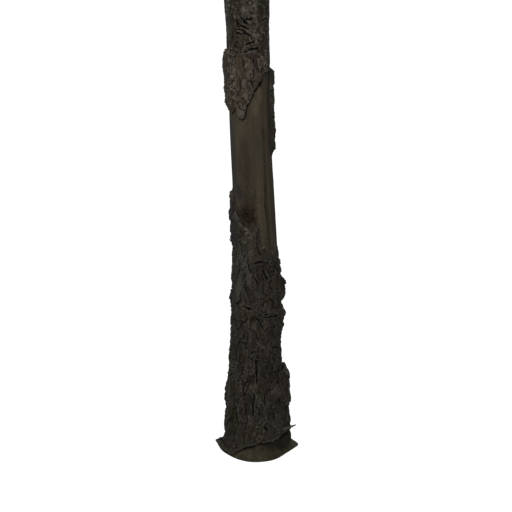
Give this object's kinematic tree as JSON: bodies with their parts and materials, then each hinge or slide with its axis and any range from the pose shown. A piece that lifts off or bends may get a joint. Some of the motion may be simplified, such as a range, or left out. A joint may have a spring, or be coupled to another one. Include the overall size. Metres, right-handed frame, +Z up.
{
  "type": "standing dead tree trunk",
  "caption": "Dead conifer trunk standing on its root flare, with a snapped top, loose slabs of thick bark and bare grey-brown wood between them.",
  "frame": {"origin": "at ground level, on the flat cut under the root flare, beneath the foot of the trunk", "axes": "+Z up along the trunk; -Y towards the side of the bark tongue and the front knot; +X to the right seen from there"},
  "size_m": [0.4708, 0.4572, 2.92],
  "materials": {
    "bare_wood": "bare weathered wood, dull, with fine upright grain and drying cracks",
    "thick_bark": "rough fissured bark in thick upright plates, matt",
    "inner_bark": "thin rough inner bark with slits and scales, matt",
    "knot_wood": "reddish-dark resinous knot wood, matt"
  },
  "bodies": {
    "root": {"trunk_wood": "bare_wood", "bark_front_low": "thick_bark", "bark_front_mid": "thick_bark", "bark_front_top": "thick_bark", "bark_front_shoulder": "thick_bark", "bark_front_chip": "thick_bark", "bark_left_foot": "thick_bark", "bark_left_low": "thick_bark", "bark_left_mid": "thick_bark", "bark_left_top": "thick_bark", "bark_right_front": "thick_bark", "bark_right_loose": "thick_bark", "bark_right_mid": "thick_bark", "bark_right_plate": "thick_bark", "bark_right_bulge": "thick_bark", "bark_back_low": "thick_bark", "bark_back_left_low": "thick_bark", "bark_back_high": "thick_bark", "bark_back_left_high": "thick_bark", "bark_back_bridge": "thick_bark", "bark_upper_front": "thick_bark", "bark_upper_left": "thick_bark", "bark_upper_right": "thick_bark", "bark_strip_right": "thick_bark", "bark_upper_back": "thick_bark", "bark_foot_splinter": "thick_bark", "inner_bark_front": "inner_bark", "inner_bark_upper_front": "inner_bark", "inner_bark_upper_right": "inner_bark", "inner_bark_upper_back": "inner_bark", "knot_front": "knot_wood", "knot_back": "knot_wood"}
  },
  "joints": []
}
